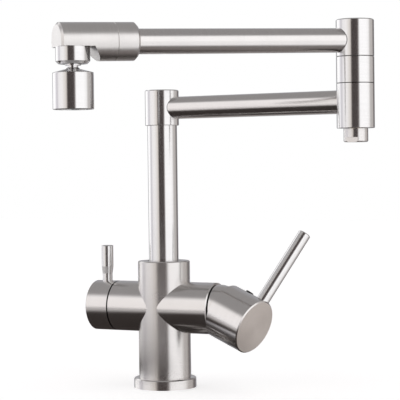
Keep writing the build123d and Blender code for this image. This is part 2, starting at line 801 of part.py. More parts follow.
with BuildPart() as post_head:
    with BuildSketch(Plane.XY.offset(post_bottom)):
        Circle(post_radius)
    extrude(amount=post_top - post_bottom)
    chamfer(post_head.edges().group_by(Axis.Z)[-1], post_bevel)
    chamfer(post_head.edges().group_by(Axis.Z)[0], post_bevel / 2)
    with BuildSketch(Plane.XY.offset(post_bottom)):
        Circle(riser_radius + seat_gap)
    extrude(amount=post_socket, mode=Mode.SUBTRACT)
    with BuildSketch(Plane.XY.offset(post_bottom)):
        Circle(post_cavity_radius)
    extrude(amount=post_top - post_roof - post_bottom, mode=Mode.SUBTRACT)
    with BuildSketch(lower_arm_plane):
        Circle(lower_arm_radius + seat_gap)
    extrude(amount=post_radius + overrun, mode=Mode.SUBTRACT)
save(post_head.part, "post_head")

# Lower arm and lower half of the elbow
with BuildPart() as lower_arm:
    with BuildSketch(lower_arm_plane.offset(post_cavity_radius - arm_entry)):
        Circle(lower_arm_radius)
        Circle(lower_arm_radius - arm_wall, mode=Mode.SUBTRACT)
    extrude(amount=lower_arm_length - elbow_cavity_radius - post_cavity_radius + 2 * arm_entry)
save(lower_arm.part, "lower_arm")

with BuildPart() as elbow_lower:
    with BuildSketch(elbow_plane.offset(elbow_bottom)):
        Circle(elbow_radius)
    extrude(amount=elbow_lower_seam - elbow_bottom)
    chamfer(elbow_lower.edges().group_by(Axis.Z)[0], elbow_bevel / 2)
    chamfer(elbow_lower.edges().group_by(Axis.Z)[-1], seam_bevel)
    with BuildSketch(elbow_plane.offset(elbow_bottom + elbow_floor)):
        Circle(elbow_cavity_radius)
    extrude(amount=elbow_lower_seam - elbow_bottom - elbow_floor, mode=Mode.SUBTRACT)
    with BuildSketch(elbow_plane.offset(elbow_bottom)):
        Circle(elbow_spindle_stud + run_gap)
    extrude(amount=elbow_floor, mode=Mode.SUBTRACT)
    with BuildSketch(lower_arm_plane.offset(lower_arm_length)):
        Circle(lower_arm_radius + seat_gap)
    extrude(amount=-elbow_radius - overrun, mode=Mode.SUBTRACT)
save(elbow_lower.part, "elbow_lower")

with BuildPart() as elbow_middle:
    with BuildSketch(elbow_plane.offset(elbow_lower_seam)):
        Circle(elbow_radius)
    extrude(amount=elbow_upper_seam - elbow_lower_seam)
    chamfer(elbow_middle.edges().group_by(Axis.Z)[0], seam_bevel)
    chamfer(elbow_middle.edges().group_by(Axis.Z)[-1], seam_bevel)
    with BuildSketch(elbow_plane.offset(elbow_lower_seam)):
        Circle(elbow_cavity_radius - seat_gap)
    extrude(amount=-elbow_spigot)
    with BuildSketch(elbow_plane.offset(elbow_lower_seam - elbow_spigot)):
        Circle(elbow_spindle_radius + run_gap)
    extrude(amount=elbow_upper_seam - elbow_lower_seam + elbow_spigot, mode=Mode.SUBTRACT)
    with BuildSketch(lower_arm_plane.offset(lower_arm_length)):
        Circle(lower_arm_radius + seat_gap)
    extrude(amount=-elbow_radius, mode=Mode.SUBTRACT)
save(elbow_middle.part, "elbow_middle")

with BuildPart() as elbow_washer:
    with BuildSketch(elbow_plane.offset(elbow_upper_seam)):
        Circle(elbow_radius - elbow_bevel)
        Circle(elbow_spindle_radius + run_gap, mode=Mode.SUBTRACT)
    extrude(amount=seam_gap)
save(elbow_washer.part, "elbow_washer")

# Upper half of the elbow, its spindle, rings and end nut
elbow_shoulder = elbow_bottom + elbow_floor + run_gap
with BuildPart() as elbow_spindle:
    with BuildSketch(elbow_plane.offset(elbow_shoulder)):
        Circle(elbow_spindle_radius)
    extrude(amount=elbow_spindle_top - elbow_shoulder)
    with BuildSketch(elbow_plane.offset(end_nut_bottom + end_nut_roof)):
        Circle(elbow_spindle_stud)
    extrude(amount=elbow_shoulder - end_nut_bottom - end_nut_roof)
    window_bottom = elbow_shoulder + end_nut_roof
    with BuildSketch(elbow_plane.offset(window_bottom)):
        Circle(elbow_spindle_bore)
    extrude(amount=elbow_spindle_top - window_bottom, mode=Mode.SUBTRACT)
    with Locations(
        (elbow_point.X, elbow_point.Y, window_bottom + elbow_window_height / 2)
    ):
        Box(2 * elbow_radius, elbow_window_width, elbow_window_height, mode=Mode.SUBTRACT)
        Box(elbow_window_width, 2 * elbow_radius, elbow_window_height, mode=Mode.SUBTRACT)
    for place in elbow_ring_places:
        with BuildSketch(elbow_plane.offset(place - elbow_ring_section / 2 - ring_slack)):
            Circle(elbow_spindle_radius)
            Circle(elbow_spindle_radius - elbow_ring_section - 2 * run_gap, mode=Mode.SUBTRACT)
        extrude(amount=elbow_ring_section + 2 * ring_slack, mode=Mode.SUBTRACT)
save(elbow_spindle.part, "elbow_spindle")

with BuildPart() as elbow_rings:
    with Locations(*[(elbow_point.X, elbow_point.Y, place) for place in elbow_ring_places]):
        Torus(elbow_spindle_radius - elbow_ring_section / 2 - run_gap, elbow_ring_section / 2)
save(elbow_rings.part, "elbow_rings")

with BuildPart() as elbow_upper:
    upper_start = elbow_upper_seam + seam_gap
    with BuildSketch(elbow_plane.offset(upper_start)):
        Circle(elbow_radius)
    extrude(amount=elbow_top - upper_start)
    chamfer(elbow_upper.edges().group_by(Axis.Z)[-1], elbow_bevel)
    chamfer(elbow_upper.edges().group_by(Axis.Z)[0], seam_bevel)
    with BuildSketch(elbow_plane.offset(upper_start + elbow_floor)):
        Circle(elbow_cavity_radius)
    extrude(amount=elbow_top - elbow_roof - upper_start - elbow_floor, mode=Mode.SUBTRACT)
    with BuildSketch(elbow_plane.offset(upper_start)):
        Circle(elbow_spindle_radius + seat_gap)
    extrude(amount=elbow_floor, mode=Mode.SUBTRACT)
    with BuildSketch(upper_arm_plane.offset(elbow_cavity_radius - arm_entry)):
        Circle(upper_arm_radius + seat_gap)
    extrude(amount=elbow_radius, mode=Mode.SUBTRACT)
save(elbow_upper.part, "elbow_upper")

with BuildPart() as elbow_end_nut:
    with BuildSketch(elbow_plane.offset(end_nut_bottom)):
        Circle(end_nut_radius)
    extrude(amount=elbow_bottom - move_gap - end_nut_bottom)
    fillet(elbow_end_nut.edges().group_by(Axis.Z)[0], end_nut_fillet)
    with BuildSketch(elbow_plane.offset(end_nut_bottom + end_nut_roof)):
        Circle(elbow_spindle_stud + seat_gap)
    extrude(amount=elbow_bottom - end_nut_bottom, mode=Mode.SUBTRACT)
    with BuildSketch(elbow_plane.offset(end_nut_bottom)):
        with Locations((0, end_nut_radius), (0, -end_nut_radius)):
            Rectangle(2 * end_nut_radius, 2 * end_nut_flat)
    extrude(amount=end_nut_flat_height, mode=Mode.SUBTRACT)
save(elbow_end_nut.part, "elbow_end_nut")

# Upper arm, spout collar and spout head
with BuildPart() as upper_arm:
    with BuildSketch(upper_arm_plane.offset(elbow_cavity_radius - arm_entry)):
        Circle(upper_arm_radius)
        Circle(upper_arm_radius - arm_wall, mode=Mode.SUBTRACT)
    extrude(amount=collar_start + collar_socket - elbow_cavity_radius + arm_entry)
save(upper_arm.part, "upper_arm")

with BuildPart() as spout_collar:
    with BuildSketch(upper_arm_plane.offset(collar_start)):
        Circle(spout_radius)
    extrude(amount=collar_end - collar_start)
    chamfer(spout_collar.edges().sort_by(upper_arm_line)[0], collar_bevel)
    with BuildSketch(upper_arm_plane.offset(collar_start)):
        Circle(upper_arm_radius + seat_gap)
    extrude(amount=collar_socket, mode=Mode.SUBTRACT)
    with BuildSketch(upper_arm_plane.offset(collar_start)):
        Circle(spout_bore)
    extrude(amount=collar_end - collar_start, mode=Mode.SUBTRACT)
    chamfer(
        spout_collar.edges().group_by(upper_arm_line)[-1].sort_by(SortBy.RADIUS)[-1], seam_bevel
    )
save(spout_collar.part, "spout_collar")

with BuildPart() as spout_head:
    with BuildSketch(upper_arm_plane.offset(collar_end)):
        Circle(spout_radius)
    extrude(amount=spout_face - collar_end)
    chamfer(spout_head.edges().sort_by(upper_arm_line)[-1], spout_face_bevel)
    chamfer(spout_head.edges().sort_by(upper_arm_line)[0], seam_bevel)
    # the step under the nose where the outlet hangs, with a slanted back
    notch_drop = spout_radius + overrun - notch_depth
    with BuildSketch(spout_side):
        Polygon(
            (notch_start, -notch_depth),
            (spout_nose + overrun, -notch_depth),
            (spout_nose + overrun, -notch_depth - notch_drop),
            (notch_start - notch_drop * tan(radians(notch_angle)), -notch_depth - notch_drop),
            align=None,
        )
    extrude(amount=spout_radius + overrun, both=True, mode=Mode.SUBTRACT)
    with BuildSketch(upper_arm_plane.offset(collar_end)):
        Circle(spout_bore)
    extrude(amount=spout_bore_end - collar_end, mode=Mode.SUBTRACT)
    with BuildSketch(upper_arm_plane.offset(spout_bore_end)):
        with Locations((spout_channel_rise, 0)):
            Circle(spout_channel_radius)
    extrude(amount=outlet_distance + spout_channel_radius - spout_bore_end, mode=Mode.SUBTRACT)
    with BuildSketch(outlet_plane.offset(adapter_top)):
        Circle(adapter_inlet)
    extrude(amount=notch_depth + spout_channel_rise, mode=Mode.SUBTRACT)
save(spout_head.part, "spout_head")

# Outlet adapter, stem nut and ball stem
stem_flange_height = adapter_bottom + stem_flange_depth
with BuildPart() as outlet_adapter:
    with BuildSketch(outlet_plane.offset(adapter_bottom)):
        Circle(adapter_radius)
    extrude(amount=adapter_height)
    chamfer(outlet_adapter.edges().group_by(Axis.Z)[0], adapter_bevel)
    with BuildSketch(outlet_plane.offset(adapter_bottom)):
        Circle(adapter_bore)
    extrude(amount=adapter_height - adapter_roof, mode=Mode.SUBTRACT)
    with BuildSketch(outlet_plane.offset(adapter_bottom)):
        Circle(adapter_inlet)
    extrude(amount=adapter_height, mode=Mode.SUBTRACT)
save(outlet_adapter.part, "outlet_adapter")

with BuildPart() as stem_nut:
    with BuildSketch(outlet_plane.offset(adapter_bottom + stem_flange_depth - stem_nut_height - run_gap)):
        Circle(adapter_bore - seat_gap)
        Circle(stem_collar_radius + run_gap, mode=Mode.SUBTRACT)
    extrude(amount=stem_nut_height)
save(stem_nut.part, "stem_nut")

stem_collar_bottom = adapter_bottom - stem_collar
with BuildPart() as ball_stem:
    with BuildSketch(outlet_plane.offset(stem_flange_height)):
        Circle(stem_flange_radius)
    extrude(amount=stem_flange)
    with BuildSketch(outlet_plane.offset(stem_collar_bottom)):
        Circle(stem_collar_radius)
    extrude(amount=stem_flange_height - stem_collar_bottom)
    with BuildSketch(outlet_plane.offset(ball_height)):
        Circle(stem_neck_radius)
    extrude(amount=stem_collar_bottom - ball_height)
    with Locations((outlet_point.X, outlet_point.Y, ball_height)):
        Sphere(ball_radius)
    with BuildSketch(outlet_plane.offset(ball_height - ball_radius)):
        Circle(stem_bore)
    extrude(amount=stem_flange_height + stem_flange - ball_height + ball_radius, mode=Mode.SUBTRACT)
save(ball_stem.part, "ball_stem")

# Aerator: housing, ball seat and honeycomb insert
with BuildPart() as aerator_housing:
    with BuildSketch(outlet_side):
        Polygon(
            (housing_radius - housing_wall, housing_bottom),
            (housing_radius - housing_bevel, housing_bottom),
            (housing_radius, housing_bottom + housing_bevel),
            (housing_radius, housing_line_top - housing_line_width),
            (housing_radius - housing_line_depth, housing_line_top - housing_line_width),
            (housing_radius - housing_line_depth, housing_line_top),
            (housing_radius, housing_line_top),
            (housing_radius, housing_rim_height - housing_bevel),
            (housing_radius - housing_bevel, housing_rim_height),
            (housing_mouth + housing_bevel, housing_mouth_height),
            (housing_mouth, housing_mouth_height),
            (housing_mouth, ball_height),
            (housing_radius - housing_wall, ball_height),
            align=None,
        )
    revolve(axis=outlet_line)
    with Locations((outlet_point.X, outlet_point.Y, ball_height)):
        Sphere(ball_radius + run_gap, mode=Mode.SUBTRACT)
save(aerator_housing.part, "aerator_housing")

seat_bottom = ball_height - seat_depth
with BuildPart() as ball_seat:
    with BuildSketch(outlet_plane.offset(seat_bottom)):
        Circle(housing_radius - housing_wall - seat_gap)
        Circle(seat_hole, mode=Mode.SUBTRACT)
    extrude(amount=seat_depth)
    with Locations((outlet_point.X, outlet_point.Y, ball_height)):
        Sphere(ball_radius + run_gap, mode=Mode.SUBTRACT)
save(ball_seat.part, "ball_seat")

insert_bottom = housing_bottom + insert_recess
insert_height = seat_bottom - insert_bottom
insert_radius = housing_radius - housing_wall - seat_gap
with BuildPart() as aerator_insert:
    with BuildSketch(outlet_plane.offset(insert_bottom)):
        Circle(insert_radius)
    extrude(amount=insert_height)
    chamfer(aerator_insert.edges().group_by(Axis.Z)[0], insert_crown)
    # honeycomb of straight flow cells, and the dirt screen pocket above it
    with BuildSketch(outlet_plane.offset(insert_bottom)):
        with HexLocations((insert_cell + insert_web) / 2, insert_rows, insert_rows):
            RegularPolygon(insert_cell / 2, hexagon, major_radius=False, rotation=0)
        Circle(insert_radius - insert_rim, mode=Mode.INTERSECT)
    extrude(amount=insert_depth, mode=Mode.SUBTRACT)
    with BuildSketch(outlet_plane.offset(insert_bottom + insert_depth)):
        Circle(insert_radius - insert_rim)
    extrude(amount=insert_height - insert_depth, mode=Mode.SUBTRACT)
save(aerator_insert.part, "aerator_insert")
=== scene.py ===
import math

import bpy
from mathutils import Matrix, Vector


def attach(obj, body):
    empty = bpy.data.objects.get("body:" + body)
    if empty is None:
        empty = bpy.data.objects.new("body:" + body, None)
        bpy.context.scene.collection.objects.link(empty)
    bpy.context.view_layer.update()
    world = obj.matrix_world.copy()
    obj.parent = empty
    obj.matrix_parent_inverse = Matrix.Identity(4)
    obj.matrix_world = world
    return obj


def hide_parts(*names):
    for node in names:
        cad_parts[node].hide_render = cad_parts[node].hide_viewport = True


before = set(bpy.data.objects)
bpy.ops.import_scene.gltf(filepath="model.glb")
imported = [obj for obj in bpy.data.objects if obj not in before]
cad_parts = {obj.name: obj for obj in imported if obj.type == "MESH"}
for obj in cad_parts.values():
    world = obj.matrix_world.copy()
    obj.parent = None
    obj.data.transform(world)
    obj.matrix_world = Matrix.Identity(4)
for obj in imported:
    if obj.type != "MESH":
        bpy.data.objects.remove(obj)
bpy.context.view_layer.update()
scene = bpy.context.scene

# Camera. It stands in front of the tap and to its right, at the height of the middle of the riser,
# with a long lens. It is tipped down and turned a little, as fitted to the photograph.
view_turn = math.radians(27.5)
view_distance = 1.4904
view_aside = 0.0355
view_height = 0.2131
view_tip = math.radians(1.2936)
view_roll = math.radians(0.7)
lens_in_pixels = 1550
photo_width = 400
nearest_seen = 0.05
farthest_seen = 50.0

ahead = Vector((-math.sin(view_turn), math.cos(view_turn), 0))
aside = Vector((math.cos(view_turn), math.sin(view_turn), 0))
upward = Vector((0, 0, 1))
sight = ahead * math.cos(view_tip) - upward * math.sin(view_tip)
level_up = ahead * math.sin(view_tip) + upward * math.cos(view_tip)
frame_right = aside * math.cos(view_roll) - level_up * math.sin(view_roll)
frame_up = level_up * math.cos(view_roll) + aside * math.sin(view_roll)

camera_data = bpy.data.cameras.new("photo_camera")
camera_data.lens = camera_data.sensor_width * lens_in_pixels / photo_width
camera_data.clip_start = nearest_seen
camera_data.clip_end = farthest_seen
camera = bpy.data.objects.new("photo_camera", camera_data)
scene.collection.objects.link(camera)
camera.matrix_world = Matrix(
    (
        (frame_right.x, frame_up.x, -sight.x, 0),
        (frame_right.y, frame_up.y, -sight.y, 0),
        (frame_right.z, frame_up.z, -sight.z, 0),
        (0, 0, 0, 1),
    )
)
camera.location = aside * view_aside - ahead * view_distance + upward * view_height
scene.camera = camera
scene.view_settings.view_transform = "Standard"

# Studio. A white room with tall soft boxes to the left and right, a dark gap between them where the
# camera stands, and a grey ceiling. The camera itself sees plain white behind the tap.
plain_white = (1, 1, 1, 1)
ceiling_grey = (0.36, 0.35, 0.35, 1)
ceiling_start = 0.53
ceiling_full = 0.76
studio = bpy.data.worlds.new("studio")
scene.world = studio
studio.use_nodes = True
room = studio.node_tree.nodes
wires = studio.node_tree.links
room.clear()
looking = room.new("ShaderNodeTexCoord")
parts_of = room.new("ShaderNodeSeparateXYZ")
wires.new(looking.outputs["Generated"], parts_of.inputs[0])
bearing = room.new("ShaderNodeMath")
bearing.operation = "ARCTAN2"
wires.new(parts_of.outputs["Y"], bearing.inputs[0])
wires.new(parts_of.outputs["X"], bearing.inputs[1])
half_turn = 0.5
turn_share = room.new("ShaderNodeMath")
turn_share.operation = "MULTIPLY_ADD"
turn_share.inputs[1].default_value = 1 / math.tau
turn_share.inputs[2].default_value = half_turn + (math.pi / 2 - view_turn) / math.tau
wires.new(bearing.outputs[0], turn_share.inputs[0])
turn_wrap = room.new("ShaderNodeMath")
turn_wrap.operation = "FRACT"
wires.new(turn_share.outputs[0], turn_wrap.inputs[0])

# bearings in degrees, from behind the tap over its left, past the camera at 0 and on to the right
walls = room.new("ShaderNodeValToRGB")
wall_stops = (
    (-180, (0.42, 0.42, 0.44)),
    (-151, (0.42, 0.42, 0.44)),
    (-144, (1.35, 1.35, 1.36)),
    (-116, (1.35, 1.34, 1.36)),
    (-107, (0.93, 0.91, 0.96)),
    (-95, (0.80, 0.78, 0.82)),
    (-84, (1.14, 1.12, 1.14)),
    (-60, (1.18, 1.15, 1.15)),
    (-40, (0.95, 0.90, 0.86)),
    (-34, (0.82, 0.76, 0.72)),
    (-27, (0.075, 0.062, 0.06)),
    (6, (0.085, 0.07, 0.068)),
    (13, (0.24, 0.21, 0.205)),
    (21, (1.34, 1.33, 1.34)),
    (64, (1.34, 1.33, 1.34)),
    (82, (1.20, 1.18, 1.18)),
    (95, (0.68, 0.65, 0.635)),
    (122, (0.60, 0.565, 0.55)),
    (131, (0.20, 0.18, 0.18)),
    (146, (0.20, 0.18, 0.18)),
    (155, (0.42, 0.42, 0.44)),
    (180, (0.42, 0.42, 0.44)),
)
while len(walls.color_ramp.elements) > 1:
    walls.color_ramp.elements.remove(walls.color_ramp.elements[-1])
for index, (stop_bearing, stop_colour) in enumerate(wall_stops):
    place = math.radians(stop_bearing) / math.tau + half_turn
    if index == 0:
        stop = walls.color_ramp.elements[0]
        stop.position = place
    else:
        stop = walls.color_ramp.elements.new(place)
    stop.color = (*stop_colour, 1)
wires.new(turn_wrap.outputs[0], walls.inputs[0])

ceiling_share = room.new("ShaderNodeMapRange")
ceiling_share.interpolation_type = "SMOOTHSTEP"
ceiling_share.inputs["From Min"].default_value = ceiling_start
ceiling_share.inputs["From Max"].default_value = ceiling_full
wires.new(parts_of.outputs["Z"], ceiling_share.inputs["Value"])
ceiling = room.new("ShaderNodeMix")
ceiling.data_type = "RGBA"
ceiling.inputs["B"].default_value = ceiling_grey
wires.new(ceiling_share.outputs["Result"], ceiling.inputs["Factor"])
wires.new(walls.outputs["Color"], ceiling.inputs["A"])
room_light = room.new("ShaderNodeBackground")
wires.new(ceiling.outputs["Result"], room_light.inputs["Color"])
white_light = room.new("ShaderNodeBackground")
white_light.inputs["Color"].default_value = plain_white
ray = room.new("ShaderNodeLightPath")
seen = room.new("ShaderNodeMixShader")
wires.new(ray.outputs["Is Camera Ray"], seen.inputs["Fac"])
wires.new(room_light.outputs[0], seen.inputs[1])
wires.new(white_light.outputs[0], seen.inputs[2])
room_out = room.new("ShaderNodeOutputWorld")
wires.new(seen.outputs[0], room_out.inputs["Surface"])

# Floor. A wide pale worktop that keeps the tap's soft shadow and reads white to the camera. The metal
# sees a warm polished stone, which mirrors the walls at shallow angles and is dark below. It is paler
# to the right and behind, and dull close to the tap in front and to the left.
worktop_size = 8.0
worktop_pale = (0.88, 0.88, 0.88)
worktop_dullness = 0.9
worktop_gloss = 0.1
camera_glow = 0.56
bpy.ops.object.select_all(action="DESELECT")
bpy.ops.mesh.primitive_plane_add(size=worktop_size, location=(0, 0, 0))
worktop = bpy.context.object
worktop.name = "worktop"
stone = bpy.data.materials.new("pale_worktop")
stone.use_nodes = True
stone_nodes = stone.node_tree.nodes
stone_wires = stone.node_tree.links
stone_base = stone_nodes["Principled BSDF"]
stone_base.inputs["Roughness"].default_value = worktop_dullness
stone_base.inputs["Specular IOR Level"].default_value = worktop_gloss
stone_ray = stone_nodes.new("ShaderNodeLightPath")
stone_place = stone_nodes.new("ShaderNodeTexCoord")
stone_axes = stone_nodes.new("ShaderNodeSeparateXYZ")
stone_wires.new(stone_place.outputs["Object"], stone_axes.inputs[0])
stone_reach = stone_nodes.new("ShaderNodeVectorMath")
stone_reach.operation = "LENGTH"
stone_wires.new(stone_place.outputs["Object"], stone_reach.inputs[0])
stone_side = stone_nodes.new("ShaderNodeVectorMath")
stone_side.operation = "DOT_PRODUCT"
stone_side.inputs[1].default_value = aside
stone_wires.new(stone_place.outputs["Object"], stone_side.inputs[0])
place_right = stone_axes.outputs["X"]
place_behind = stone_axes.outputs["Y"]
place_out = stone_reach.outputs["Value"]
place_aside = stone_side.outputs["Value"]


def stone_step(source, start, end, first=0.0, last=1.0):
    """A soft step over the floor, from first at start to last at end."""
    step = stone_nodes.new("ShaderNodeMapRange")
    step.interpolation_type = "SMOOTHSTEP"
    for socket, value in zip(("From Min", "From Max", "To Min", "To Max"), (start, end, first, last)):
        step.inputs[socket].default_value = value
    stone_wires.new(source, step.inputs["Value"])
    return step.outputs["Result"]


def stone_tint(share, near, far):
    """A colour between near and far by a share. near is a colour, or the output of a tint below."""
    tint = stone_nodes.new("ShaderNodeMix")
    tint.data_type = "RGBA"
    if isinstance(near, tuple):
        tint.inputs["A"].default_value = (*near, 1)
    else:
        stone_wires.new(near, tint.inputs["A"])
    tint.inputs["B"].default_value = (*far, 1)
    stone_wires.new(share, tint.inputs["Factor"])
    return tint.outputs["Result"]


def stone_product(first, second):
    """Two values multiplied."""
    product = stone_nodes.new("ShaderNodeMath")
    product.operation = "MULTIPLY"
    stone_wires.new(first, product.inputs[0])
    stone_wires.new(second, product.inputs[1])
    return product.outputs[0]


# the stone's tones, each with the places in metres where it starts and is full
dark_start, dark_full = 0.28, 0.46
dark_near = (0.085, 0.073, 0.068)
dark_far = (0.16, 0.14, 0.133)
right_start, right_full = 0.08, 0.24
right_pale = (0.42, 0.385, 0.37)
behind_start, behind_full = 0.06, 0.3
behind_pale = (0.72, 0.68, 0.66)
stone_dark = stone_tint(stone_step(place_out, dark_start, dark_full), dark_near, dark_far)
stone_right = stone_step(place_right, right_start, right_full)
stone_tone = stone_tint(stone_right, stone_dark, right_pale)
stone_behind = stone_tint(stone_step(place_behind, behind_start, behind_full), stone_tone, behind_pale)
stone_colour = stone_nodes.new("ShaderNodeMix")
stone_colour.data_type = "RGBA"
stone_colour.inputs["A"].default_value = (*worktop_pale, 1)
stone_wires.new(stone_behind, stone_colour.inputs["B"])
stone_wires.new(stone_ray.outputs["Is Glossy Ray"], stone_colour.inputs["Factor"])
stone_wires.new(stone_colour.outputs["Result"], stone_base.inputs["Base Color"])
stone_glow = stone_nodes.new("ShaderNodeEmission")
stone_glow.inputs["Color"].default_value = plain_white
stone_glow_level = stone_nodes.new("ShaderNodeMath")
stone_glow_level.operation = "MULTIPLY"
stone_glow_level.inputs[1].default_value = camera_glow
stone_wires.new(stone_ray.outputs["Is Camera Ray"], stone_glow_level.inputs[0])
stone_wires.new(stone_glow_level.outputs[0], stone_glow.inputs["Strength"])

# the polish, which starts to mirror where the floor is seen at a shallow angle, and sooner to the right
polish_colour = (0.92, 0.92, 0.92)
polish_roughness = 0.05
shallow_start, shallow_full = 0.46, 0.65
right_lift = 0.3
stone_polish = stone_nodes.new("ShaderNodeBsdfGlossy")
stone_polish.inputs["Color"].default_value = (*polish_colour, 1)
stone_polish.inputs["Roughness"].default_value = polish_roughness
stone_slope = stone_nodes.new("ShaderNodeLayerWeight")
stone_lift = stone_nodes.new("ShaderNodeMath")
stone_lift.operation = "MULTIPLY_ADD"
stone_lift.inputs[1].default_value = right_lift
stone_wires.new(stone_right, stone_lift.inputs[0])
stone_wires.new(stone_slope.outputs["Facing"], stone_lift.inputs[2])
stone_mirror = stone_step(stone_lift.outputs[0], shallow_start, shallow_full)
stone_share = stone_product(stone_mirror, stone_ray.outputs["Is Glossy Ray"])

# the dull patch, a ring in front of the tap and to its left that turns from dark to pale outwards
pale_start, pale_full = 0.16, 0.34
patch_near = (0.09, 0.075, 0.07)
patch_far = (1.0, 0.985, 0.975)
ring_start, ring_full = 0.09, 0.13
ring_fades, ring_ends = 0.2, 1.3
left_fades, left_ends = 0.02, 0.11
stone_dull = stone_nodes.new("ShaderNodeBsdfDiffuse")
dull_tone = stone_tint(stone_step(place_out, pale_start, pale_full), patch_near, patch_far)
stone_wires.new(dull_tone, stone_dull.inputs["Color"])
dull_ring = stone_product(
    stone_step(place_out, ring_start, ring_full),
    stone_step(place_out, ring_fades, ring_ends, first=1.0, last=0.0),
)
dull_left = stone_step(place_aside, left_fades, left_ends, first=1.0, last=0.0)
dull_share = stone_product(dull_ring, dull_left)
stone_sheen = stone_nodes.new("ShaderNodeMixShader")
stone_wires.new(dull_share, stone_sheen.inputs["Fac"])
stone_wires.new(stone_polish.outputs[0], stone_sheen.inputs[1])
stone_wires.new(stone_dull.outputs[0], stone_sheen.inputs[2])
stone_face = stone_nodes.new("ShaderNodeMixShader")
stone_wires.new(stone_share, stone_face.inputs["Fac"])
stone_wires.new(stone_base.outputs[0], stone_face.inputs[1])
stone_wires.new(stone_sheen.outputs[0], stone_face.inputs[2])
stone_sum = stone_nodes.new("ShaderNodeAddShader")
stone_wires.new(stone_face.outputs[0], stone_sum.inputs[0])
stone_wires.new(stone_glow.outputs[0], stone_sum.inputs[1])
stone_wires.new(stone_sum.outputs[0], stone_nodes["Material Output"].inputs["Surface"])
worktop.data.materials.append(stone)


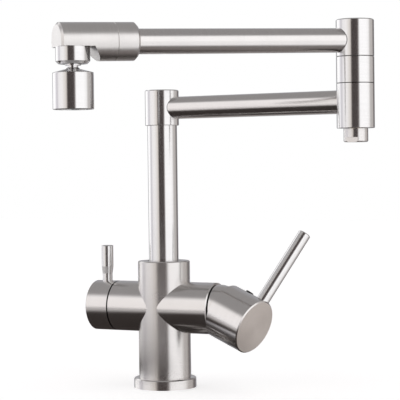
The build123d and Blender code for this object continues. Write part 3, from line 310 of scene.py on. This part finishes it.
# Base ring. A flat turned ring of brushed nickel-plated brass that the body's foot stands in. Its
# top corner is broken, and it is brushed round its axis, as all the turned pieces are.
def turned_metal(name, foot, along, colour, roughness, streak, line_width, line_depth):
    """Metal turned and brushed round an axis. foot is a point on the axis, and along is its direction."""
    quarter_turn = 0.25
    end_face_lean = 0.6
    line_strength = 0.5
    line_detail = 3.0
    line_sharpness = 0.65
    mark_scale = 38.0
    mark_detail = 4.0
    least_mark, most_mark = 0.3, 0.7
    smoother, duller = 0.025, 0.035
    groove_tone, crest_tone = 0.93, 1.03
    finish = bpy.data.materials.new(name)
    finish.use_nodes = True
    nodes = finish.node_tree.nodes
    links = finish.node_tree.links
    metal = nodes["Principled BSDF"]
    metal.inputs["Metallic"].default_value = 1.0
    metal.inputs["Anisotropic"].default_value = streak
    metal.inputs["Anisotropic Rotation"].default_value = quarter_turn

    point = nodes.new("ShaderNodeTexCoord")
    from_foot = nodes.new("ShaderNodeVectorMath")
    from_foot.operation = "SUBTRACT"
    from_foot.inputs[1].default_value = foot
    links.new(point.outputs["Object"], from_foot.inputs[0])
    around = nodes.new("ShaderNodeVectorMath")
    around.operation = "CROSS_PRODUCT"
    around.inputs[0].default_value = along
    links.new(from_foot.outputs[0], around.inputs[1])
    groove = nodes.new("ShaderNodeVectorTransform")
    groove.vector_type = "VECTOR"
    groove.convert_from = "OBJECT"
    groove.convert_to = "WORLD"
    links.new(around.outputs[0], groove.inputs[0])
    groove_unit = nodes.new("ShaderNodeVectorMath")
    groove_unit.operation = "NORMALIZE"
    links.new(groove.outputs[0], groove_unit.inputs[0])
    links.new(groove_unit.outputs[0], metal.inputs["Tangent"])

    # turned lines: they change along the axis and outwards, and only slowly round it
    out_from_axis = nodes.new("ShaderNodeVectorMath")
    out_from_axis.operation = "LENGTH"
    links.new(around.outputs[0], out_from_axis.inputs[0])
    up_axis = nodes.new("ShaderNodeVectorMath")
    up_axis.operation = "DOT_PRODUCT"
    up_axis.inputs[1].default_value = along
    links.new(from_foot.outputs[0], up_axis.inputs[0])
    face_lean = nodes.new("ShaderNodeVectorMath")
    face_lean.operation = "DOT_PRODUCT"
    face_lean.inputs[1].default_value = along
    links.new(point.outputs["Normal"], face_lean.inputs[0])
    face_tilt = nodes.new("ShaderNodeMath")
    face_tilt.operation = "ABSOLUTE"
    links.new(face_lean.outputs["Value"], face_tilt.inputs[0])
    end_share = nodes.new("ShaderNodeMath")
    end_share.operation = "GREATER_THAN"
    end_share.inputs[1].default_value = end_face_lean
    links.new(face_tilt.outputs[0], end_share.inputs[0])
    out_on_ends = nodes.new("ShaderNodeMath")
    out_on_ends.operation = "MULTIPLY"
    links.new(out_from_axis.outputs["Value"], out_on_ends.inputs[0])
    links.new(end_share.outputs[0], out_on_ends.inputs[1])
    line_place = nodes.new("ShaderNodeCombineXYZ")
    links.new(out_on_ends.outputs[0], line_place.inputs["X"])
    links.new(up_axis.outputs["Value"], line_place.inputs["Y"])
    line_scale = nodes.new("ShaderNodeVectorMath")
    line_scale.operation = "MULTIPLY_ADD"
    line_scale.inputs[1].default_value = (1 / line_width,) * 3
    around_unit = nodes.new("ShaderNodeVectorMath")
    around_unit.operation = "NORMALIZE"
    links.new(around.outputs[0], around_unit.inputs[0])
    links.new(line_place.outputs[0], line_scale.inputs[0])
    links.new(around_unit.outputs[0], line_scale.inputs[2])
    lines = nodes.new("ShaderNodeTexNoise")
    lines.inputs["Scale"].default_value = 1.0
    lines.inputs["Detail"].default_value = line_detail
    lines.inputs["Roughness"].default_value = line_sharpness
    links.new(line_scale.outputs[0], lines.inputs["Vector"])
    relief = nodes.new("ShaderNodeBump")
    relief.inputs["Strength"].default_value = line_strength
    relief.inputs["Distance"].default_value = line_depth
    links.new(lines.outputs["Fac"], relief.inputs["Height"])
    links.new(relief.outputs[0], metal.inputs["Normal"])

    # handling marks: broad soft patches that are a little duller
    marks = nodes.new("ShaderNodeTexNoise")
    marks.inputs["Scale"].default_value = mark_scale
    marks.inputs["Detail"].default_value = mark_detail
    links.new(point.outputs["Object"], marks.inputs["Vector"])
    dullness = nodes.new("ShaderNodeMapRange")
    dullness.inputs["From Min"].default_value = least_mark
    dullness.inputs["From Max"].default_value = most_mark
    dullness.inputs["To Min"].default_value = roughness - smoother
    dullness.inputs["To Max"].default_value = roughness + duller
    links.new(marks.outputs["Fac"], dullness.inputs["Value"])
    links.new(dullness.outputs["Result"], metal.inputs["Roughness"])
    tone = nodes.new("ShaderNodeValToRGB")
    tone.color_ramp.elements[0].position = least_mark
    tone.color_ramp.elements[0].color = (*[c * groove_tone for c in colour], 1)
    tone.color_ramp.elements[1].position = most_mark
    tone.color_ramp.elements[1].color = (*[min(1.0, c * crest_tone) for c in colour], 1)
    links.new(lines.outputs["Fac"], tone.inputs["Fac"])
    links.new(tone.outputs["Color"], metal.inputs["Base Color"])
    return finish


def shown_copy(node, body, finish, axes):
    """The CAD node's own shape, joined and shaded truly round, standing for the node.

    axes is the foot and direction of the axis that it was turned on, or a function that gives them
    for a place on the piece.
    """
    curved_face = math.cos(math.radians(0.3))
    turned_lean = math.sin(math.radians(7))
    merge_gap = 2e-6
    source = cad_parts[node].data
    shading = []
    for face in source.polygons:
        foot, along = axes(face.center) if callable(axes) else axes
        normals = [source.corner_normals[corner].vector.copy() for corner in face.loop_indices]
        if min(normal.dot(face.normal) for normal in normals) < curved_face:
            for index, point in enumerate(face.vertices):
                arm = source.vertices[point].co - Vector(foot)
                sideways = Vector(along).cross(arm).normalized()
                lean = normals[index].dot(sideways)
                if abs(lean) < turned_lean:
                    normals[index] = (normals[index] - sideways * lean).normalized()
        for normal in normals:
            shading.extend(normal)
    bpy.ops.object.select_all(action="DESELECT")
    piece = bpy.data.objects.new(node + "_shown", source.copy())
    scene.collection.objects.link(piece)
    kept = piece.data.attributes.new("true_shading", "FLOAT_VECTOR", "CORNER")
    kept.data.foreach_set("vector", shading)
    piece.select_set(True)
    bpy.context.view_layer.objects.active = piece
    bpy.ops.object.mode_set(mode="EDIT")
    bpy.ops.mesh.select_all(action="SELECT")
    bpy.ops.mesh.remove_doubles(threshold=merge_gap)
    bpy.ops.mesh.faces_shade_smooth()
    bpy.ops.object.mode_set(mode="OBJECT")
    kept = piece.data.attributes["true_shading"]
    normals = [tuple(corner.vector) for corner in kept.data]
    piece.data.attributes.remove(kept)
    piece.data.normals_split_custom_set(normals)
    piece.data.materials.clear()
    piece.data.materials.append(finish)
    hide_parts(node)
    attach(piece, body)
    return piece


satin_nickel = (0.73, 0.71, 0.697)
upright = (0, 0, 1)
ring_finish = turned_metal(
    "base_ring_satin", (0, 0, 0), upright, satin_nickel,
    roughness=0.22, streak=0.6, line_width=0.00022, line_depth=0.00002,
)
shown_copy("base_ring", "body", ring_finish, ((0, 0, 0), upright))


# Rubber seals. The gasket under the base ring, and the rings round the inlet block, cartridge ports,
# headwork, riser foot and elbow spindle, all moulded in black rubber with a dry bloom.
def moulded(name, colour, roughness, grain_size, grain_depth):
    """Moulded rubber or plastic: a fine pebble grain and a faint uneven bloom."""
    grain_strength = 0.4
    grain_detail = 3.0
    bloom_scale = 90.0
    bloom_detail = 5.0
    least_bloom, most_bloom = 0.32, 0.68
    darker, paler, lift = 0.85, 1.1, 0.004
    dullness_spread = 0.08
    finish = bpy.data.materials.new(name)
    finish.use_nodes = True
    nodes = finish.node_tree.nodes
    links = finish.node_tree.links
    surface = nodes["Principled BSDF"]
    point = nodes.new("ShaderNodeTexCoord")
    grain = nodes.new("ShaderNodeTexNoise")
    grain.inputs["Scale"].default_value = 1 / grain_size
    grain.inputs["Detail"].default_value = grain_detail
    links.new(point.outputs["Object"], grain.inputs["Vector"])
    relief = nodes.new("ShaderNodeBump")
    relief.inputs["Strength"].default_value = grain_strength
    relief.inputs["Distance"].default_value = grain_depth
    links.new(grain.outputs["Fac"], relief.inputs["Height"])
    links.new(relief.outputs[0], surface.inputs["Normal"])
    bloom = nodes.new("ShaderNodeTexNoise")
    bloom.inputs["Scale"].default_value = bloom_scale
    bloom.inputs["Detail"].default_value = bloom_detail
    links.new(point.outputs["Object"], bloom.inputs["Vector"])
    tone = nodes.new("ShaderNodeValToRGB")
    tone.color_ramp.elements[0].position = least_bloom
    tone.color_ramp.elements[0].color = (*[c * darker for c in colour], 1)
    tone.color_ramp.elements[1].position = most_bloom
    tone.color_ramp.elements[1].color = (*[min(1.0, c * paler + lift) for c in colour], 1)
    links.new(bloom.outputs["Fac"], tone.inputs["Fac"])
    links.new(tone.outputs["Color"], surface.inputs["Base Color"])
    dullness = nodes.new("ShaderNodeMapRange")
    dullness.inputs["To Min"].default_value = roughness - dullness_spread
    dullness.inputs["To Max"].default_value = roughness + dullness_spread
    links.new(bloom.outputs["Fac"], dullness.inputs["Value"])
    links.new(dullness.outputs["Result"], surface.inputs["Roughness"])
    return finish


def dress(node, finish):
    """Gives a CAD node that stays as it is its real finish."""
    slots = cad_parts[node].data.materials
    slots.clear()
    slots.append(finish)


seal_rubber = moulded(
    "seal_rubber", (0.025, 0.025, 0.026),
    roughness=0.7, grain_size=0.0004, grain_depth=0.00003,
)
for seal in ("base_gasket", "block_seal", "cartridge_seals", "headwork_seal", "riser_rings", "elbow_rings"):
    dress(seal, seal_rubber)

# Inlet block. A turned brass plug in the body's foot with the stud hole and three hose ports, bored
# from below, with cutter marks left on its face.
brass = (0.78, 0.60, 0.30)
block_brass = turned_metal(
    "inlet_brass", (0, 0, 0), upright, brass,
    roughness=0.28, streak=0.5, line_width=0.0003, line_depth=0.00003,
)
dress("inlet_block", block_brass)

# Body. One casting with a branch to each side, turned and brushed all over: round the upright axis
# on the trunk, and round the level axis on the two branches.
trunk_radius = 0.025
trunk_skin = 0.0001
branch_height = 0.077
level = (1, 0, 0)
trunk_finish = turned_metal(
    "trunk_satin", (0, 0, 0), upright, satin_nickel,
    roughness=0.25, streak=0.45, line_width=0.00025, line_depth=0.000025,
)
branch_finish = turned_metal(
    "branch_satin", (0, 0, branch_height), level, satin_nickel,
    roughness=0.18, streak=0.6, line_width=0.00025, line_depth=0.000025,
)


def body_axes(place):
    """The trunk's axis near the middle of the casting, and the branches' axis beyond it."""
    if math.hypot(place.x, place.y) > trunk_radius + trunk_skin:
        return (0, 0, branch_height), level
    return (0, 0, 0), upright


body_shown = shown_copy("body", "body", trunk_finish, body_axes)
body_shown.data.materials.append(branch_finish)
for face in body_shown.data.polygons:
    if body_axes(face.center)[1] == level:
        face.material_index = 1

# Mixer cartridge and its nut. A white moulded cartridge with the hot, cold and mixed ports, held in
# the right branch by a slotted brass nut, and the fork that turns in its neck.
pivot_reach = 0.060
pivot = Vector((pivot_reach, 0, branch_height))
cartridge_white = moulded(
    "cartridge_white", (0.80, 0.80, 0.78),
    roughness=0.42, grain_size=0.0006, grain_depth=0.00002,
)
dress("cartridge_case", cartridge_white)
dress("cartridge_carrier", cartridge_white)
nut_brass = turned_metal(
    "nut_brass", pivot, level, brass,
    roughness=0.27, streak=0.5, line_width=0.0003, line_depth=0.00003,
)
dress("cartridge_nut", nut_brass)


# Bonnet. The turned dome between the branch and the handle, whose hollow rides over it. It is brushed
# like the branch, and its foot, in the gap next to the branch's rim, is painted black as the gap's shadow.
def shadow_line(finish, foot, along, measure, middle, reach):
    """Paints shadow black into a seam: within reach of middle, "along" an axis or "out" from it."""
    # the black of the painted shadow in a seam
    painted_seam_shadow = (0.014, 0.013, 0.012, 1)
    nodes = finish.node_tree.nodes
    links = finish.node_tree.links
    metal = nodes["Principled BSDF"]
    tone = metal.inputs["Base Color"].links[0].from_socket
    point = nodes.new("ShaderNodeTexCoord")
    from_foot = nodes.new("ShaderNodeVectorMath")
    from_foot.operation = "SUBTRACT"
    from_foot.inputs[1].default_value = foot
    links.new(point.outputs["Object"], from_foot.inputs[0])
    place = nodes.new("ShaderNodeVectorMath")
    place.operation = "DOT_PRODUCT" if measure == "along" else "CROSS_PRODUCT"
    place.inputs[1].default_value = along
    links.new(from_foot.outputs[0], place.inputs[0])
    if measure == "out":
        out = nodes.new("ShaderNodeVectorMath")
        out.operation = "LENGTH"
        links.new(place.outputs[0], out.inputs[0])
        place = out
    inside = nodes.new("ShaderNodeMath")
    inside.operation = "COMPARE"
    inside.inputs[1].default_value = middle
    inside.inputs[2].default_value = reach
    links.new(place.outputs["Value"], inside.inputs[0])
    seam = nodes.new("ShaderNodeMix")
    seam.data_type = "RGBA"
    seam.inputs["B"].default_value = painted_seam_shadow
    links.new(inside.outputs[0], seam.inputs["Factor"])
    links.new(tone, seam.inputs["A"])
    links.new(seam.outputs["Result"], metal.inputs["Base Color"])


bonnet_gap_place = 0.0573
bonnet_gap_reach = 0.0011
bonnet_finish = turned_metal(
    "bonnet_satin", pivot, level, satin_nickel,
    roughness=0.2, streak=0.6, line_width=0.0002, line_depth=0.00001,
)
# the gap's shadow, painted black round the dome's foot
shadow_line(bonnet_finish, (0, 0, 0), level, "along", bonnet_gap_place, bonnet_gap_reach)
shown_copy("bonnet", "body", bonnet_finish, (pivot, level))

# Mixer handle. A turned cap on the cartridge's square stem, a straight round lever screwed into its
# side, a plug and a grub screw behind. The plug's sides are painted black as the shade in its gap, and
# its outer face is pale. Cap and lever are brushed round their axes, and the cap's end face has a
# rougher turning and a paler colour that is painted light.
handle_tilt = math.radians(23.5)
handle_turn = math.radians(26.8)
lever_reach = 0.0352
plug_reach = 0.0185
grub_reach = 0.03
end_face_cosine = 0.99
outer_face_cosine = 0.5
painted_light_nickel = (0.90, 0.845, 0.80)
bright_nickel = (0.757, 0.75, 0.747)
screw_grey = (0.45, 0.45, 0.46)
cap_axis = Vector(
    (
        math.cos(handle_tilt),
        -math.sin(handle_tilt) * math.sin(handle_turn),
        -math.sin(handle_tilt) * math.cos(handle_turn),
    )
)
lever_axis = Vector(
    (
        math.sin(handle_tilt),
        math.cos(handle_tilt) * math.sin(handle_turn),
        math.cos(handle_tilt) * math.cos(handle_turn),
    )
)
hinge_axis = Vector((0, -math.cos(handle_turn), math.sin(handle_turn)))
lever_foot = pivot + cap_axis * lever_reach
plug_foot = pivot + cap_axis * plug_reach
cap_finish = turned_metal(
    "cap_satin", pivot, cap_axis, satin_nickel,
    roughness=0.18, streak=0.65, line_width=0.00025, line_depth=0.000025,
)
cap_shown = shown_copy("mixer_cap", "mixer_handle", cap_finish, (pivot, cap_axis))
# the end face's own rougher turning, in a paler colour that is painted light
cap_face_finish = turned_metal(
    "cap_face_satin", pivot, cap_axis, painted_light_nickel,
    roughness=0.30, streak=0.5, line_width=0.0003, line_depth=0.00002,
)
cap_shown.data.materials.append(cap_face_finish)
for face in cap_shown.data.polygons:
    if face.normal.dot(cap_axis) > end_face_cosine:
        face.material_index = 1
lever_finish = turned_metal(
    "lever_polish", lever_foot, lever_axis, bright_nickel,
    roughness=0.17, streak=0.6, line_width=0.0002, line_depth=0.000012,
)
shown_copy("mixer_lever", "mixer_handle", lever_finish, (lever_foot, lever_axis))
# the plug's sides painted black as the shade in the gap round it; its outer face is pale
plug_shade_finish = moulded(
    "plug_painted_shade_black", (0.012, 0.012, 0.012),
    roughness=0.45, grain_size=0.0004, grain_depth=0.00001,
)
plug_shown = shown_copy("index_plug", "mixer_handle", plug_shade_finish, (plug_foot, lever_axis))
index_finish = moulded(
    "index_pale", (0.78, 0.78, 0.77),
    roughness=0.35, grain_size=0.0004, grain_depth=0.00001,
)
plug_shown.data.materials.append(index_finish)
for face in plug_shown.data.polygons:
    if face.normal.dot(lever_axis) > outer_face_cosine:
        face.material_index = 1
stem_finish = turned_metal(
    "stem_brass", pivot, cap_axis, brass,
    roughness=0.3, streak=0.4, line_width=0.0003, line_depth=0.00003,
)
dress("cartridge_stem", stem_finish)
pin_finish = turned_metal(
    "pin_steel", pivot, hinge_axis, bright_nickel,
    roughness=0.22, streak=0.4, line_width=0.0002, line_depth=0.00001,
)
dress("pivot_pin", pin_finish)
grub_finish = turned_metal(
    "grub_steel", pivot + cap_axis * grub_reach, lever_axis, screw_grey,
    roughness=0.3, streak=0.3, line_width=0.0002, line_depth=0.00002,
)
dress("handle_grub_screw", grub_finish)

# Filter handle. A turned knob on the headwork's spindle with a short upright pin, waisted where it
# enters the knob. The headwork and spindle are turned brass.
knob_seam_place = -0.0506
knob_seam_reach = 0.0005
pin_place = -0.0632
knob_finish = turned_metal(
    "knob_satin", (pin_place, 0, branch_height), level, satin_nickel,
    roughness=0.19, streak=0.65, line_width=0.00025, line_depth=0.000025,
)
# a painted shadow: a black line in the seam round the knob
shadow_line(knob_finish, (0, 0, 0), level, "along", knob_seam_place, knob_seam_reach)
knob_axis = ((0, 0, branch_height), level)
shown_copy("filter_knob", "filter_knob", knob_finish, knob_axis)
pin_lever_finish = turned_metal(
    "filter_pin_polish", (pin_place, 0, 0), upright, bright_nickel,
    roughness=0.18, streak=0.6, line_width=0.0002, line_depth=0.000012,
)
pin_axis = ((pin_place, 0, 0), upright)
shown_copy("filter_lever", "filter_knob", pin_lever_finish, pin_axis)
headwork_brass = turned_metal(
    "headwork_brass", (0, 0, branch_height), level, brass,
    roughness=0.28, streak=0.5, line_width=0.0003, line_depth=0.00003,
)
dress("filter_headwork", headwork_brass)
dress("filter_spindle", headwork_brass)

# Riser and its bearing. A drawn tube with the turned head on it, both finely polished, in a brass
# foot that turns in the body between two moulded slip washers, under a moulded guide nut.
guide_plastic = moulded(
    "guide_white", (0.72, 0.72, 0.71),
    roughness=0.45, grain_size=0.0006, grain_depth=0.00002,
)
for guide in ("guide_nut", "lower_thrust_washer", "upper_thrust_washer"):
    dress(guide, guide_plastic)
foot_brass = turned_metal(
    "foot_brass", (0, 0, 0), upright, brass,
    roughness=0.28, streak=0.5, line_width=0.0003, line_depth=0.00003,
)
dress("riser_foot", foot_brass)
riser_finish = turned_metal(
    "riser_polish", (0, 0, 0), upright, bright_nickel,
    roughness=0.16, streak=0.7, line_width=0.0002, line_depth=0.000012,
)
riser_axis = ((0, 0, 0), upright)
shown_copy("riser_tube", "riser", riser_finish, riser_axis)
shown_copy("post_head", "riser", riser_finish, riser_axis)

# Lower arm. A drawn tube let into the riser's head and the elbow, and brushed round its axis. A fine
# line of painted shadow, black, runs round it where it enters the head.
lower_heading = math.radians(-4.0)
lower_arm_height = 0.2679
head_edge = 0.0162
head_edge_reach = 0.0004
lower_along = Vector((math.cos(lower_heading), math.sin(lower_heading), 0))
lower_arm_axis = ((0, 0, lower_arm_height), lower_along)
lower_arm_finish = turned_metal(
    "lower_arm_satin", *lower_arm_axis, satin_nickel,
    roughness=0.16, streak=0.7, line_width=0.00025, line_depth=0.00002,
)
shadow_line(lower_arm_finish, (0, 0, 0), upright, "out", head_edge, head_edge_reach)
shown_copy("lower_arm", "riser", lower_arm_finish, lower_arm_axis)

# Elbow. Three turned barrels on a hollow brass spindle, the lower two fixed to the lower arm and the
# upper one to the upper arm. A thin grey washer lies in the seam that turns, and the end nut below
# has two milled spanner flats. Both seams have a black line of painted shadow.
elbow_reach = 0.2055
elbow_place = lower_along * elbow_reach
fixed_seam_height = 0.2843
fixed_seam_reach = 0.00035
swivel_seam_height = 0.3079
swivel_seam_reach = 0.00025
elbow_finish = turned_metal(
    "elbow_polish", elbow_place, upright, bright_nickel,
    roughness=0.17, streak=0.7, line_width=0.0002, line_depth=0.000012,
)
# painted shadow in the fixed seam and in the seam that turns
shadow_line(elbow_finish, (0, 0, 0), upright, "along", fixed_seam_height, fixed_seam_reach)
shadow_line(elbow_finish, (0, 0, 0), upright, "along", swivel_seam_height, swivel_seam_reach)
elbow_axis = (elbow_place, upright)
shown_copy("elbow_lower", "riser", elbow_finish, elbow_axis)
shown_copy("elbow_middle", "riser", elbow_finish, elbow_axis)
shown_copy("elbow_upper", "upper_arm", elbow_finish, elbow_axis)
end_nut_finish = turned_metal(
    "end_nut_satin", elbow_place, upright, satin_nickel,
    roughness=0.22, streak=0.6, line_width=0.0002, line_depth=0.00001,
)
shown_copy("elbow_end_nut", "upper_arm", end_nut_finish, elbow_axis)
spindle_brass = turned_metal(
    "spindle_brass", elbow_place, upright, brass,
    roughness=0.26, streak=0.5, line_width=0.0003, line_depth=0.00003,
)
dress("elbow_spindle", spindle_brass)
washer_grey = moulded(
    "washer_grey", (0.16, 0.16, 0.16),
    roughness=0.5, grain_size=0.0005, grain_depth=0.00001,
)
dress("elbow_washer", washer_grey)

# Upper arm and spout. A drawn tube into a turned collar, and a round nose piece with a flat stepped
# underside. All are brushed round the arm's axis. A fine line of painted shadow, black, runs round the
# tube where it enters the elbow.
upper_heading = math.radians(229.0)
upper_fall = math.radians(1.3)
upper_arm_height = 0.3224
elbow_edge = 0.0170
elbow_edge_reach = 0.00045
upper_along = Vector(
    (
        math.cos(upper_heading) * math.cos(upper_fall),
        math.sin(upper_heading) * math.cos(upper_fall),
        -math.sin(upper_fall),
    )
)
arm_place = elbow_place + upward * upper_arm_height
upper_arm_finish = turned_metal(
    "upper_arm_satin", arm_place, upper_along, satin_nickel,
    roughness=0.21, streak=0.5, line_width=0.00025, line_depth=0.00002,
)
shadow_line(upper_arm_finish, elbow_place, upright, "out", elbow_edge, elbow_edge_reach)
upper_arm_axis = (arm_place, upper_along)
shown_copy("upper_arm", "upper_arm", upper_arm_finish, upper_arm_axis)
spout_finish = turned_metal(
    "spout_satin", arm_place, upper_along, satin_nickel,
    roughness=0.30, streak=0.25, line_width=0.0003, line_depth=0.00004,
)
shown_copy("spout_collar", "upper_arm", spout_finish, upper_arm_axis)
shown_copy("spout_head", "upper_arm", spout_finish, upper_arm_axis)

# Outlet adapter and ball stem. A polished turned sleeve under the nose with a plated brass nut inside,
# and the short stem whose ball carries the aerator.
outlet_reach = 0.262
outlet_place = elbow_place + upper_along * outlet_reach
adapter_finish = turned_metal(
    "adapter_polish", outlet_place, upright, bright_nickel,
    roughness=0.17, streak=0.6, line_width=0.0002, line_depth=0.00001,
)
outlet_axis = (outlet_place, upright)
shown_copy("outlet_adapter", "upper_arm", adapter_finish, outlet_axis)
dress("stem_nut", adapter_finish)
shown_copy("ball_stem", "ball_stem", adapter_finish, outlet_axis)

# Aerator. A polished cup that turns and tips on the ball, with a black ball seat and a pale moulded
# honeycomb in its mouth.
aerator_finish = turned_metal(
    "aerator_polish", outlet_place, upright, bright_nickel,
    roughness=0.14, streak=0.7, line_width=0.0002, line_depth=0.00001,
)
shown_copy("aerator_housing", "aerator", aerator_finish, outlet_axis)
seat_black = moulded(
    "ball_seat_black", (0.05, 0.05, 0.055),
    roughness=0.45, grain_size=0.0005, grain_depth=0.00002,
)
dress("ball_seat", seat_black)
insert_white = moulded(
    "insert_white", (0.82, 0.83, 0.83),
    roughness=0.38, grain_size=0.0005, grain_depth=0.00001,
)
dress("aerator_insert", insert_white)
